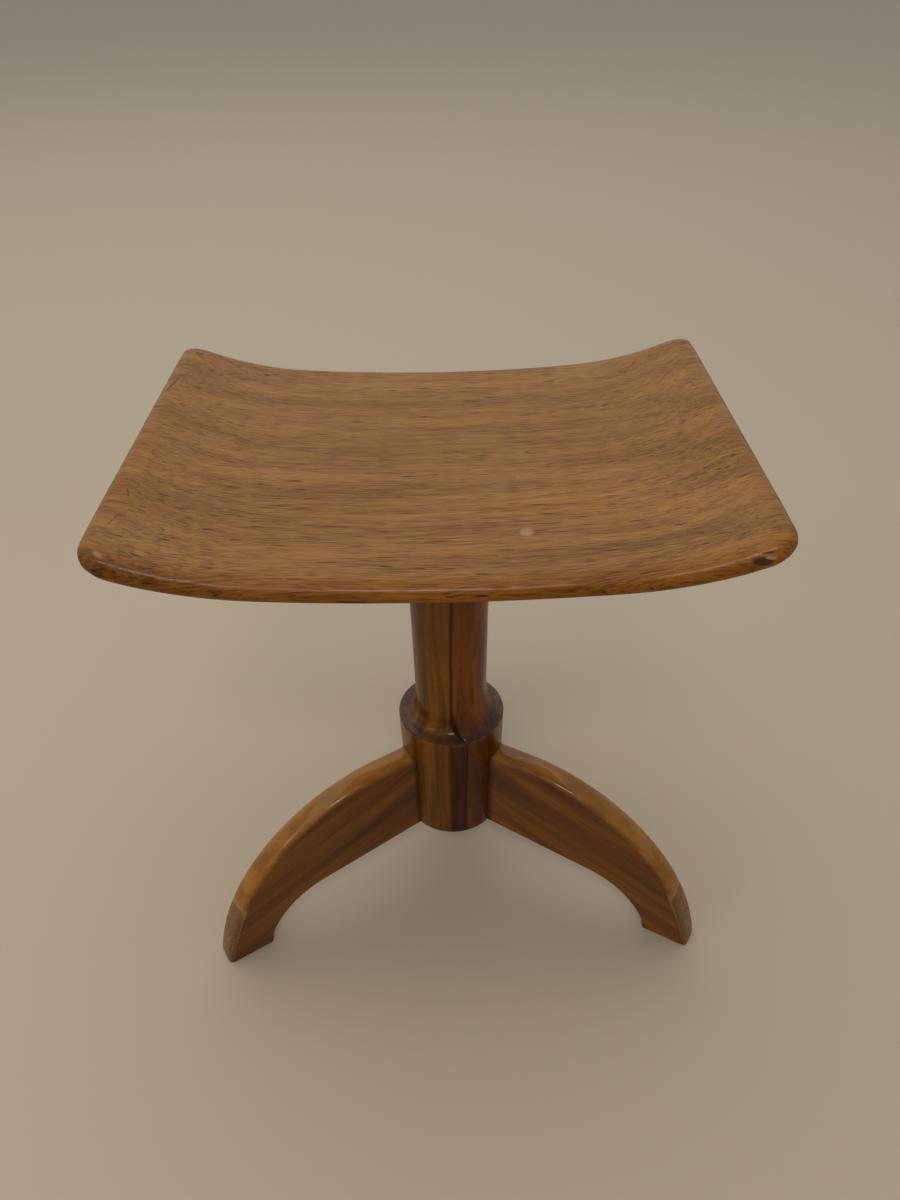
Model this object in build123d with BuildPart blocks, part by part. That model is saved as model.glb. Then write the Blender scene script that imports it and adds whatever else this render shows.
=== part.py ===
from build123d import *
import os
from math import asin, cos, degrees, radians, sin, sqrt

# A pedestal stool in solid wood: a seat dished from side to side, a turned pedestal glued up
# from three boards, and three arched legs dowelled to the pedestal's hub.
# Millimetres, +Z up, +Y to the back. The origin is on the floor, under the middle of the box
# that holds the whole stool.

# Seat
SEAT_WIDTH = 435.5
SEAT_DEPTH = 320.0
SEAT_HEIGHT = 448.0  # top of the seat at its lowest point
DISH_RISE = 33.5  # from the lowest point up to the seat's two ends
DISH_HALF_SPAN = 115.0  # the dish is nearly flat this far out, then turns up
DISH_TOP_RADIUS = 1500.0  # of the nearly flat middle, seat top
DISH_UNDER_RADIUS = 1800.0  # the same, underside
SEAT_MID_THICKNESS = 17.5
SEAT_END_THICKNESS = 23.5
SEAT_CORNER_RADIUS = 14.0
SEAT_TOP_ROUNDING = 9.5
SEAT_UNDER_ROUNDING = 7.5
SEAT_SHIFT_X = -6.0  # the seat is fixed a little off the pedestal's axis
SEAT_SHIFT_Y = 2.0

# Pedestal: a tapered hub with a ledge on top, and a column that swells towards the seat
HUB_BOTTOM = 63.0
HUB_BASE_RADIUS = 45.0
RIM_HEIGHT = 188.5
RIM_RADIUS = 48.0
WAIST_RADIUS = 32.0
COLUMN_TOP_RADIUS = 36.5
CORE_SHOULDER_RISE = 36.0  # the middle board's shoulder climbs high, at its front end only
CORE_SHOULDER_BREAK = (38.2, 197.2)  # where the middle board's shoulder turns out to the rim
LEDGE_COVE = 11.0  # radius of the hollow from the level ledge up to the column, elsewhere
CORE_THICKNESS = 45.5
CORE_ANGLE = 45.0  # the boards stand at this angle to the seat's front edge
TENON_RADIUS = 18.0
WEDGE_THICKNESS = 3.0
WEDGE_TIP = 1.0
WEDGE_DEPTH = 17.0

# Bearer, the crosspiece that joins the column to the seat
BEARER_WIDTH = 86.0
BEARER_LENGTH = 216.0
BEARER_THICKNESS = 22.0
BEARER_CHAMFER = 6.0
BEARER_SPARE = 2.0  # left on top, then cut away by the seat's curved underside
SCREW_SPACING_X = 56.0
SCREW_SPACING_Y = 168.0
SCREW_RADIUS = 2.25
SCREW_HEAD_RADIUS = 4.5
SCREW_HEAD_DEPTH = 3.0
SCREW_GRIP = 9.5  # how far a screw goes up into the seat
SCREW_POINT = 4.0
SCREW_SLOT = 1.2
SCREW_SLOT_DEPTH = 1.3

# Legs
LEG_THICKNESS = 24.0
LEG_END = 43.0  # distance from the pedestal's axis to a leg's end, in its housing
LEG_TOP = 155.5
LEG_UNDER = 65.5  # underside of a leg at the hub
LEG_SHOULDER = 73.0  # where the level top edge turns into the arch
ARCH_RADIUS = 181.0
UNDER_RUN = (150.0, 53.0)  # end of the underside's straight run
HEEL_TOP = (206.0, 12.0)
HEEL_REACH = 208.5
LEG_ARRIS = 4.5
LEG_UNDER_ARRIS = 2.0
TRIPOD_TURN = 1.15  # the three legs stand slightly turned under the seat
LEG_ANGLES = {"leg_front_left": -60.0, "leg_front_right": 60.0, "leg_rear": 180.0}
DOWEL_RADIUS = 5.0
DOWEL_LENGTH = 56.0
DOWEL_IN_HUB = 28.0
DOWEL_HEIGHTS = (88.0, 130.0)
DOWEL_CHAMFER = 1.0

# Places worked out from the sizes above
FOOT_REACH = LEG_SHOULDER + sqrt(ARCH_RADIUS**2 - (ARCH_RADIUS - LEG_TOP) ** 2)
PEDESTAL_Y = (SEAT_DEPTH / 2 - SEAT_SHIFT_Y - FOOT_REACH) / 2
SEAT_X = SEAT_SHIFT_X
SEAT_Y = PEDESTAL_Y + SEAT_SHIFT_Y
SEAT_UNDERSIDE = SEAT_HEIGHT - SEAT_MID_THICKNESS
SEAT_END_TOP = SEAT_HEIGHT + DISH_RISE
SEAT_END_UNDERSIDE = SEAT_END_TOP - SEAT_END_THICKNESS
BEARER_UNDERSIDE = SEAT_UNDERSIDE - BEARER_THICKNESS
UNDER_SLOPE = (UNDER_RUN[0] - LEG_END, UNDER_RUN[1] - LEG_UNDER)
PEDESTAL_AXIS = Axis((0, PEDESTAL_Y, 0), (0, 0, 1))
PEDESTAL_SECTION = Plane(origin=(0, PEDESTAL_Y, 0), x_dir=(1, 0, 0), z_dir=(0, -1, 0))
ACROSS_BOARDS = Plane(
    origin=(0, PEDESTAL_Y, 0), z_dir=(cos(radians(CORE_ANGLE)), -sin(radians(CORE_ANGLE)), 0)
)
SEAT_SECTION = Plane(origin=(SEAT_X, SEAT_Y, 0), x_dir=(1, 0, 0), z_dir=(0, -1, 0))


def dish_half(low_point, mid_radius, end_height):
    """Right half of a dished line: a nearly flat arc, then a tighter one up to the end."""
    mid_angle = degrees(asin(DISH_HALF_SPAN / mid_radius))
    middle = JernArc((0, low_point), (1, 0), mid_radius, mid_angle)
    TangentArc(middle @ 1, (SEAT_WIDTH / 2, end_height), tangent=middle % 1)


def outline_of(board, facing_up):
    """Edges round the upper or the lower side of the dished board."""
    sign = 1 if facing_up else -1
    sides = board.faces().filter_by(lambda face: sign * face.normal_at().Z > 0.7)
    edges = [edge for face in sides for edge in face.edges()]
    return [edge for edge in edges if sum(edge.is_same(other) for other in edges) == 1]


def screw_places(height):
    """The four screw axes through bearer and seat, at one height."""
    return [
        Location((SEAT_X + sx * SCREW_SPACING_X / 2, SEAT_Y + sy * SCREW_SPACING_Y / 2, height))
        for sx in (-1, 1)
        for sy in (-1, 1)
    ]


def leg_plane(angle):
    """Upright plane through the pedestal's axis: its X runs out along a leg, its Y is up."""
    turn = radians(angle + TRIPOD_TURN)
    return Plane(
        origin=(0, PEDESTAL_Y, 0),
        x_dir=(sin(turn), -cos(turn), 0),
        z_dir=(-cos(turn), -sin(turn), 0),
    )


def dowel_places():
    """Two level dowels a leg, lying along it, part in the hub and part in the leg."""
    middle = LEG_END - DOWEL_IN_HUB + DOWEL_LENGTH / 2
    return [
        leg_plane(angle).location * Location((middle, height, 0), (0, 90, 0))
        for angle in LEG_ANGLES.values()
        for height in DOWEL_HEIGHTS
    ]


def make_leg(label, angle):
    """One arched leg, sawn from a board with the grain running from hub to foot."""
    with BuildPart() as leg:
        with BuildSketch(leg_plane(angle)):
            with BuildLine():
                Line((LEG_END, LEG_UNDER), (LEG_END, LEG_TOP))
                Line((LEG_END, LEG_TOP), (LEG_SHOULDER, LEG_TOP))
                TangentArc((LEG_SHOULDER, LEG_TOP), (FOOT_REACH, 0), tangent=(1, 0))
                Line((FOOT_REACH, 0), (HEEL_REACH, 0))
                Line((HEEL_REACH, 0), HEEL_TOP)
                TangentArc(UNDER_RUN, HEEL_TOP, tangent=UNDER_SLOPE)
                Line(UNDER_RUN, (LEG_END, LEG_UNDER))
            make_face()
        extrude(amount=LEG_THICKNESS / 2, both=True)
        curved = leg.edges().filter_by(GeomType.CIRCLE).sort_by(SortBy.LENGTH)
        fillet(curved[-2:], LEG_ARRIS)
        curved = leg.edges().filter_by(GeomType.CIRCLE).filter_by(
            lambda edge: edge.radius < ARCH_RADIUS / 2 and edge.length > LEG_THICKNESS
        )
        fillet(curved, LEG_UNDER_ARRIS)
        with Locations(*dowel_places()):
            Cylinder(DOWEL_RADIUS, DOWEL_LENGTH, mode=Mode.SUBTRACT)
    leg.part.label = label
    return leg


def pedestal_outline(high_shoulder, with_tenon):
    """Half section of the turned pedestal, from the hub's bottom to the column's top."""
    swell_start = RIM_HEIGHT + CORE_SHOULDER_RISE
    top = SEAT_UNDERSIDE if with_tenon else BEARER_UNDERSIDE
    Polyline((0, top), (0, HUB_BOTTOM), (HUB_BASE_RADIUS, HUB_BOTTOM), (RIM_RADIUS, RIM_HEIGHT))
    if high_shoulder:
        upper = TangentArc((WAIST_RADIUS, swell_start), CORE_SHOULDER_BREAK, tangent=(0, -1))
        TangentArc(CORE_SHOULDER_BREAK, (RIM_RADIUS, RIM_HEIGHT), tangent=upper % 1)
    else:
        cove_top = (WAIST_RADIUS, RIM_HEIGHT + LEDGE_COVE)
        cove_foot = (WAIST_RADIUS + LEDGE_COVE, RIM_HEIGHT)
        Line((WAIST_RADIUS, swell_start), cove_top)
        TangentArc(cove_top, cove_foot, tangent=(0, -1))
        Line(cove_foot, (RIM_RADIUS, RIM_HEIGHT))
    TangentArc(
        (WAIST_RADIUS, swell_start), (COLUMN_TOP_RADIUS, BEARER_UNDERSIDE), tangent=(0, 1)
    )
    if with_tenon:
        Polyline(
            (COLUMN_TOP_RADIUS, BEARER_UNDERSIDE),
            (TENON_RADIUS, BEARER_UNDERSIDE),
            (TENON_RADIUS, SEAT_UNDERSIDE),
            (0, SEAT_UNDERSIDE),
        )
    else:
        Line((COLUMN_TOP_RADIUS, BEARER_UNDERSIDE), (0, BEARER_UNDERSIDE))


def glue_plane(side):
    """A glue line of the pedestal, facing away from the core; side is -1 (front) or 1."""
    turn = radians(CORE_ANGLE)
    outward = (side * sin(turn), side * cos(turn), 0)
    distance = CORE_THICKNESS / 2
    origin = (distance * outward[0], PEDESTAL_Y + distance * outward[1], 0)
    return Plane(origin=origin, z_dir=outward)


def cut_leg_joints():
    """Cut the shallow leg housings and the dowel holes into a board of the pedestal."""
    for leg in legs:
        add(leg.part, mode=Mode.SUBTRACT)
    with Locations(*dowel_places()):
        Cylinder(DOWEL_RADIUS, DOWEL_LENGTH, mode=Mode.SUBTRACT)


# Seat: one thick board, the grain running from side to side
with BuildPart() as seat:
    with BuildSketch(SEAT_SECTION):
        with BuildLine():
            dish_half(SEAT_HEIGHT, DISH_TOP_RADIUS, SEAT_END_TOP)
            dish_half(SEAT_UNDERSIDE, DISH_UNDER_RADIUS, SEAT_END_UNDERSIDE)
            Line((SEAT_WIDTH / 2, SEAT_END_UNDERSIDE), (SEAT_WIDTH / 2, SEAT_END_TOP))
            mirror(about=Plane.YZ)
        make_face()
    extrude(amount=SEAT_DEPTH / 2, both=True)
    fillet(seat.edges().filter_by(Axis.Z), SEAT_CORNER_RADIUS)
    fillet(outline_of(seat, facing_up=True), SEAT_TOP_ROUNDING)
    fillet(outline_of(seat, facing_up=False), SEAT_UNDER_ROUNDING)
    with Locations(*screw_places(SEAT_UNDERSIDE)):
        Cylinder(SCREW_RADIUS, 2 * SCREW_GRIP, mode=Mode.SUBTRACT)
seat.part.label = "seat"

# Bearer: crosses the seat's grain, its top hollowed to the seat's underside
with BuildPart() as seat_bearer:
    with BuildSketch(Plane.XY.offset(BEARER_UNDERSIDE)):
        with Locations((SEAT_X, SEAT_Y)):
            Rectangle(BEARER_WIDTH, BEARER_LENGTH)
    extrude(amount=BEARER_THICKNESS + BEARER_SPARE)
    chamfer(seat_bearer.faces().sort_by(Axis.Z)[0].edges(), BEARER_CHAMFER)
    with Locations((0, PEDESTAL_Y, BEARER_UNDERSIDE)):
        Cylinder(TENON_RADIUS, 4 * BEARER_THICKNESS, mode=Mode.SUBTRACT)
    with Locations(*screw_places(BEARER_UNDERSIDE)):
        Cylinder(SCREW_RADIUS, 4 * BEARER_THICKNESS, mode=Mode.SUBTRACT)
    with Locations(*screw_places(BEARER_UNDERSIDE + SCREW_HEAD_DEPTH / 2)):
        Cone(SCREW_HEAD_RADIUS, SCREW_RADIUS, SCREW_HEAD_DEPTH, mode=Mode.SUBTRACT)
    add(seat.part, mode=Mode.SUBTRACT)
seat_bearer.part.label = "seat_bearer"

# Bearer screws: four slotted countersunk wood screws, driven up into the seat
with BuildPart() as screw:
    with BuildSketch(Plane.XZ):
        with BuildLine():
            tip = BEARER_THICKNESS + SCREW_GRIP
            Polyline(
                (0, 0),
                (SCREW_HEAD_RADIUS, 0),
                (SCREW_RADIUS, SCREW_HEAD_DEPTH),
                (SCREW_RADIUS, tip - SCREW_POINT),
                (0, tip),
                close=True,
            )
        make_face()
    revolve(axis=Axis.Z)
    Box(2 * SCREW_HEAD_RADIUS, SCREW_SLOT, 2 * SCREW_SLOT_DEPTH, mode=Mode.SUBTRACT)
with BuildPart() as bearer_screws:
    with Locations(*screw_places(BEARER_UNDERSIDE)):
        add(screw.part)
bearer_screws.part.label = "bearer_screws"

# Wedge: driven into the tenon's saw cut, across the bearer's grain
with BuildPart() as tenon_wedge:
    with BuildSketch(Plane(origin=(0, PEDESTAL_Y, 0), x_dir=(0, 1, 0), z_dir=(1, 0, 0))):
        with BuildLine():
            Polyline(
                (-WEDGE_THICKNESS / 2, SEAT_UNDERSIDE),
                (WEDGE_THICKNESS / 2, SEAT_UNDERSIDE),
                (WEDGE_TIP / 2, SEAT_UNDERSIDE - WEDGE_DEPTH),
                (-WEDGE_TIP / 2, SEAT_UNDERSIDE - WEDGE_DEPTH),
                close=True,
            )
        make_face()
    extrude(amount=TENON_RADIUS, both=True)
    with Locations((0, PEDESTAL_Y, SEAT_UNDERSIDE)):
        Cylinder(TENON_RADIUS, 2 * BEARER_THICKNESS, mode=Mode.INTERSECT)
tenon_wedge.part.label = "tenon_wedge"

# Legs and their dowels
legs = [make_leg(label, angle) for label, angle in LEG_ANGLES.items()]
with BuildPart() as dowel:
    Cylinder(DOWEL_RADIUS, DOWEL_LENGTH)
    chamfer(dowel.edges().filter_by(GeomType.CIRCLE), DOWEL_CHAMFER)
with BuildPart() as leg_dowels:
    with Locations(*dowel_places()):
        add(dowel.part)
leg_dowels.part.label = "leg_dowels"

# Pedestal core: the middle board, with the tenon for the bearer and one high shoulder
with BuildPart() as high_end:
    with BuildSketch(PEDESTAL_SECTION):
        with BuildLine():
            pedestal_outline(high_shoulder=True, with_tenon=True)
        make_face()
    revolve(axis=PEDESTAL_AXIS)
    split(bisect_by=ACROSS_BOARDS, keep=Keep.TOP)
with BuildPart() as column_core:
    with BuildSketch(PEDESTAL_SECTION):
        with BuildLine():
            pedestal_outline(high_shoulder=False, with_tenon=True)
        make_face()
    revolve(axis=PEDESTAL_AXIS)
    add(high_end.part)
    split(bisect_by=glue_plane(-1), keep=Keep.BOTTOM)
    split(bisect_by=glue_plane(1), keep=Keep.BOTTOM)
    cut_leg_joints()
    add(tenon_wedge.part, mode=Mode.SUBTRACT)
column_core.part.label = "column_core"


def make_cheek(label, side):
    """One of the two boards glued to the core, with the level ledge."""
    with BuildPart() as cheek:
        with BuildSketch(PEDESTAL_SECTION):
            with BuildLine():
                pedestal_outline(high_shoulder=False, with_tenon=False)
            make_face()
        revolve(axis=PEDESTAL_AXIS)
        split(bisect_by=glue_plane(side), keep=Keep.TOP)
        cut_leg_joints()
    cheek.part.label = label
    return cheek


column_cheek_front = make_cheek("column_cheek_front", -1)
column_cheek_rear = make_cheek("column_cheek_rear", 1)

os.makedirs("parts", exist_ok=True)
pieces = [seat, seat_bearer, bearer_screws, tenon_wedge, column_core]
pieces += [column_cheek_front, column_cheek_rear, leg_dowels, *legs]
for piece in pieces:
    export_step(piece.part, f"parts/{piece.part.label}.step")
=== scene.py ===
import bpy
import numpy as np
from math import asin, atan2, cos, hypot, pi, radians, sin, sqrt
from mathutils import Matrix, Vector, noise


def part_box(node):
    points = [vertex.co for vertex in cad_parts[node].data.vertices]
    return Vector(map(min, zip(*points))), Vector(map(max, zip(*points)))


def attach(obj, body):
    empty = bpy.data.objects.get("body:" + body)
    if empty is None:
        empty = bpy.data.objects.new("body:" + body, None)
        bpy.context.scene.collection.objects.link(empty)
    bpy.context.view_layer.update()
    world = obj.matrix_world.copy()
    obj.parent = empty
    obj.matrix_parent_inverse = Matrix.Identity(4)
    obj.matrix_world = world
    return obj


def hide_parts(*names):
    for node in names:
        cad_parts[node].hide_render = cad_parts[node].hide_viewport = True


# Lengths of the stool are in millimetres, in the CAD frame, until make_piece turns them into
# metres; floor and lights are in metres. Pieces are placed from the boxes of the CAD nodes, and
# their shapes repeat the CAD's own outlines.

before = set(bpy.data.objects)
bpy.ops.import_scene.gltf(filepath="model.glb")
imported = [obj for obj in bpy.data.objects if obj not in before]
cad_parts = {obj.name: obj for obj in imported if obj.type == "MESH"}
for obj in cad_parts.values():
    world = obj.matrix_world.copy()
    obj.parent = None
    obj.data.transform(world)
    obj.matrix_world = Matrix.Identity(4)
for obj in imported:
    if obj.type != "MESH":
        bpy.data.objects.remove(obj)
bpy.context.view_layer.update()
MM = 0.001


def box_mm(node):
    """Lowest and highest corner of a CAD node, in millimetres."""
    low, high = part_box(node)
    return np.array(low) / MM, np.array(high) / MM


CORE_LOW, CORE_HIGH = box_mm("column_core")
AXIS_X, AXIS_Y = (CORE_LOW[:2] + CORE_HIGH[:2]) / 2


# ------------------------------------------------------------------------------ mesh helpers
def grid_faces(index, closed=False):
    """Quads between the rows and columns of a table of vertex numbers."""
    if closed:
        index = np.concatenate([index, index[:, :1]], axis=1)
    quads = np.stack([index[:-1, :-1], index[1:, :-1], index[1:, 1:], index[:-1, 1:]], axis=-1)
    return quads.reshape(-1, 4)


def fan(ring, hub):
    """Triangles from a closed ring of vertex numbers to the vertex hub."""
    return np.column_stack([ring, np.roll(ring, -1), np.full(len(ring), hub)])


def border(table):
    """The entries round the edge of a table, in order, without the first one repeated."""
    return np.concatenate([table[0, :-1], table[:-1, -1], table[-1, :0:-1], table[:0:-1, 0]])


def signed_volume(points, faces):
    """Six times the volume inside a closed mesh; negative when its faces look inwards."""
    total = 0.0
    for table in faces:
        for k in range(2, table.shape[1]):
            a, b, c = points[table[:, 0]], points[table[:, k - 1]], points[table[:, k]]
            total += (np.cross(a, b) * c).sum()
    return total


def make_piece(name, points, faces, node, slot, crease=40, **attributes):
    """A smooth mesh that stands for one CAD node. Points are in millimetres."""
    if signed_volume(points, faces) < 0:
        faces = [table[:, ::-1] for table in faces]
    mesh = bpy.data.meshes.new(name)
    corners = [face for table in faces for face in table.tolist()]
    mesh.from_pydata((points * MM).tolist(), [], corners)
    mesh.validate()
    for key, values in attributes.items():
        vector = values.ndim == 2
        layer = mesh.attributes.new(key, "FLOAT_VECTOR" if vector else "FLOAT", "POINT")
        layer.data.foreach_set("vector" if vector else "value", values.astype(np.float32).ravel())
    mesh.shade_smooth()
    mesh.set_sharp_from_angle(angle=radians(crease))
    piece = bpy.data.objects.new(name, mesh)
    bpy.context.collection.objects.link(piece)
    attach(piece, "root")
    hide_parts(node)
    return piece


def noise_at(points, size, seed=0):
    """Smooth noise from -1 to 1 at each point, with features about size millimetres across."""
    shift = Vector((seed * 17.3, seed * 5.1, seed * 11.7))
    return np.array([noise.noise(Vector(p) / size + shift) for p in points])


def smoothstep(low, high, value):
    """0 at low, 1 at high and smooth between; low may be the larger of the two."""
    t = np.clip((value - low) / (high - low), 0, 1)
    return t * t * (3 - 2 * t)


def dent(points, centre, radius, push):
    """Push the points near centre by the vector push, fading out at radius."""
    away = np.linalg.norm((points - centre) / radius, axis=1)
    return points + np.exp(-3 * away**2)[:, None] * np.array(push)


# ---------------------------------------------------------------------------------- the seat
SEAT_LOW, SEAT_HIGH = box_mm("seat")
SEAT_MIDDLE = (SEAT_LOW + SEAT_HIGH) / 2
SEAT_HALF = (SEAT_HIGH - SEAT_LOW)[:2] / 2
SEAT_THICKNESS = 17.5  # in the middle; 23.5 at the ends
DISH_SPAN = 115.0  # nearly flat this far out, then a tighter arc up to the ends
TOP_ARC, TOP_RISE = 1500.0, 33.5
UNDER_ARC, UNDER_RISE = 1800.0, 27.5
NOSE_MIDDLE, NOSE_END = 14.0, 17.0  # how far the rounding of the edges reaches in
CORNER = 15.0
CURVE_BEYOND, BLUR_BEYOND = 40, 12  # the dish's curve and its blur go on past the seat's end
NOSE_RINGS = 18
SEAT_GRID = (168, 124, 6)  # squares along the seat, across it and round a corner

# Places are from the seat's middle, with the height from the floor.
SEAT_DENTS = (  # place, radius and push
    ((204, -152, 468), 7, (-0.7, 0.8, 0.9)),
    ((196, -156, 463), 5, (-0.3, 0.9, 1.1)),
    ((-207, -154, 464), 5, (0.9, 0.7, 0.2)),
    ((-214, 84, 473), 6, (0.8, 0, -0.2)),
    ((-150, -160, 452), 5, (0, 0.5, 0.2)),
)
GRAIN_SWIRLS = ((-172, -166, 26, 9), (166, -152, 22, -7), (-212, 75, 20, 5))  # x, y, reach, sway


def dish_curve(mid_arc, rise):
    """Height of a dished line over its lowest point, at many distances from the middle."""
    x = np.linspace(0, SEAT_HALF[0] + CURVE_BEYOND, 800)
    angle = asin(DISH_SPAN / mid_arc)
    start = mid_arc * (1 - cos(angle))
    chord = (SEAT_HALF[0] - DISH_SPAN, rise - start)
    turn = atan2(chord[1], chord[0]) - angle
    arc = hypot(*chord) / (2 * sin(turn))
    centre = (DISH_SPAN - arc * sin(angle), start + arc * cos(angle))
    inner = mid_arc - np.sqrt(mid_arc**2 - np.minimum(x, DISH_SPAN) ** 2)
    outer = centre[1] - np.sqrt(np.maximum(arc**2 - (x - centre[0]) ** 2, 1.0))
    height = np.where(x < DISH_SPAN, inner, outer)
    mirrored = np.concatenate([height[:0:-1], height])
    blur = np.exp(-np.linspace(-2.5, 2.5, 81) ** 2)
    blurred = np.convolve(mirrored, blur / blur.sum(), mode="same")[len(x) - 1:]
    return x, np.where(x < SEAT_HALF[0] + BLUR_BEYOND, blurred, height) - blurred[0]


TOP_CURVE = dish_curve(TOP_ARC, TOP_RISE)
UNDER_CURVE = dish_curve(UNDER_ARC, UNDER_RISE)


def seat_top(x):
    return SEAT_LOW[2] + SEAT_THICKNESS + np.interp(np.abs(x), *TOP_CURVE)


def seat_under(x):
    return SEAT_LOW[2] + np.interp(np.abs(x), *UNDER_CURVE)


def rounded_plan(half_x, half_y, radius, count_x, count_y, count_corner):
    """Square grid of points that fills a rectangle with round corners."""
    corner = np.arange(1, count_corner + 1) / count_corner
    u = np.concatenate([-1 - corner[::-1], np.linspace(-1, 1, count_x + 1), 1 + corner])
    v = np.concatenate([-1 - corner[::-1], np.linspace(-1, 1, count_y + 1), 1 + corner])
    u, v = np.meshgrid(u, v, indexing="ij")
    a = np.clip(np.abs(u) - 1, 0, 1)
    b = np.clip(np.abs(v) - 1, 0, 1)
    x = np.minimum(np.abs(u), 1) * (half_x - radius) + radius * a * np.sqrt(1 - b * b / 2)
    y = np.minimum(np.abs(v), 1) * (half_y - radius) + radius * b * np.sqrt(1 - a * a / 2)
    return np.stack([np.sign(u) * x, np.sign(v) * y], axis=-1)


def make_seat():
    """The dished board, with soft elliptical edges, worn corners and a chip or two."""
    half_x, half_y = SEAT_HALF

    def plan(angle):
        """Plan grid at one angle of the nose: 90 is the top's border, -90 the underside's."""
        inward = 1 - cos(radians(angle))
        reach_x = half_x - NOSE_END * inward
        reach_y = half_y - NOSE_MIDDLE * inward
        return rounded_plan(reach_x, reach_y, CORNER - 4 * inward, *SEAT_GRID)

    def lift(points, angle):
        """The plan grid with its heights."""
        top, under = seat_top(points[..., 0]), seat_under(points[..., 0])
        middle = under + 0.46 * (top - under)
        rise = sin(radians(angle))
        height = middle + np.where(rise > 0, top - middle, middle - under) * rise
        return np.concatenate([points, height[..., None]], axis=-1)

    top = lift(plan(90), 90)
    under = lift(plan(-90), -90)
    angles = np.linspace(90, -90, NOSE_RINGS + 1)[1:-1]
    nose = np.array([border(lift(plan(angle), angle)) for angle in angles])
    points = np.concatenate([top.reshape(-1, 3), nose.reshape(-1, 3), under.reshape(-1, 3)])
    top_index = np.arange(top.shape[0] * top.shape[1]).reshape(top.shape[:2])
    nose_index = top_index.size + np.arange(nose.shape[0] * nose.shape[1]).reshape(nose.shape[:2])
    under_index = top_index.size + nose_index.size + top_index
    strip = np.concatenate([border(top_index)[None], nose_index, border(under_index)[None]])
    faces = [grid_faces(top_index), grid_faces(strip, closed=True)]
    faces += [grid_faces(under_index)[:, ::-1]]

    around = np.zeros(len(points))
    around[nose_index.ravel()] = np.repeat(np.sin(np.radians(90 - np.abs(angles))), nose.shape[1])
    points[:, 2] += 0.16 * noise_at(points, 70, 1) + 0.06 * noise_at(points, 22, 2)
    corner_away = np.hypot(half_x - np.abs(points[:, 0]), half_y - np.abs(points[:, 1]))
    corner = around * smoothstep(42, 8, corner_away)
    points[:, :2] *= (1 - 0.0035 * corner * (1 + 0.6 * noise_at(points, 9, 3)))[:, None]
    rounded = around * (1 - 0.5 * smoothstep(NOSE_END, 0, half_x - np.abs(points[:, 0])))
    for centre, radius, push in SEAT_DENTS:
        points = dent(points, centre, radius, push)
    grain = points * MM
    for x, y, reach, sway in GRAIN_SWIRLS:
        away = np.hypot((points[:, 0] - x) / (2.2 * reach), (points[:, 1] - y) / reach)
        grain[:, 1] += sway * MM * np.exp(-(away**2))
    points[:, :2] += SEAT_MIDDLE[:2]
    return make_piece(
        "seat_board", points, faces, "seat", "seat_wood", grain=grain, edge=rounded, corner=corner
    )


# ------------------------------------------------------------------------------ the pedestal
BEARER_LOW, _ = box_mm("seat_bearer")
HUB_BOTTOM = CORE_LOW[2]
COLUMN_TOP = BEARER_LOW[2]
HUB_BASE, RIM, WAIST, TOP_RADIUS = 45.0, 48.0, 32.0, 36.5
RIM_HEIGHT = HUB_BOTTOM + 125.5
CORE_RISE = 36.0  # the core's high shoulder, at its front end only
CORE_BREAK = (38.2, 8.7)  # radius, and height over the rim, where that shoulder turns out
LEDGE_COVE = 11.0  # radius of the hollow between the level ledge and the column, elsewhere
CORE_HALF = 22.75
TENON = 18.0
BOARD_NORMAL = np.array([sin(radians(45)), cos(radians(45))])
BOARD_ALONG = np.array([BOARD_NORMAL[1], -BOARD_NORMAL[0]])
GLUE_GROOVE = 0.45  # width and depth of the fine line where two boards meet
TURNED_REACH = 28.0  # points further out than this are on the turned surface
STRIP_AZIMUTH = (-94.5, -91.5)  # degrees round the hub where the dark strip fades in


def arc_from(start, tangent, end, count):
    """Points on the arc from start along tangent to end, without start; and its last direction."""
    start, end, tangent = np.array(start, float), np.array(end, float), np.array(tangent, float)
    tangent /= np.linalg.norm(tangent)
    chord = end - start
    side = np.array([-tangent[1], tangent[0]])
    half_turn = atan2(chord @ side, chord @ tangent)
    turns = np.linspace(0, 1, count + 1)[1:] * half_turn
    reach = np.linalg.norm(chord) * np.sin(turns) / sin(half_turn)
    points = [start + r * (cos(t) * tangent + sin(t) * side) for r, t in zip(reach, turns)]
    final = cos(2 * half_turn) * tangent + sin(2 * half_turn) * side
    return points, final


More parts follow.
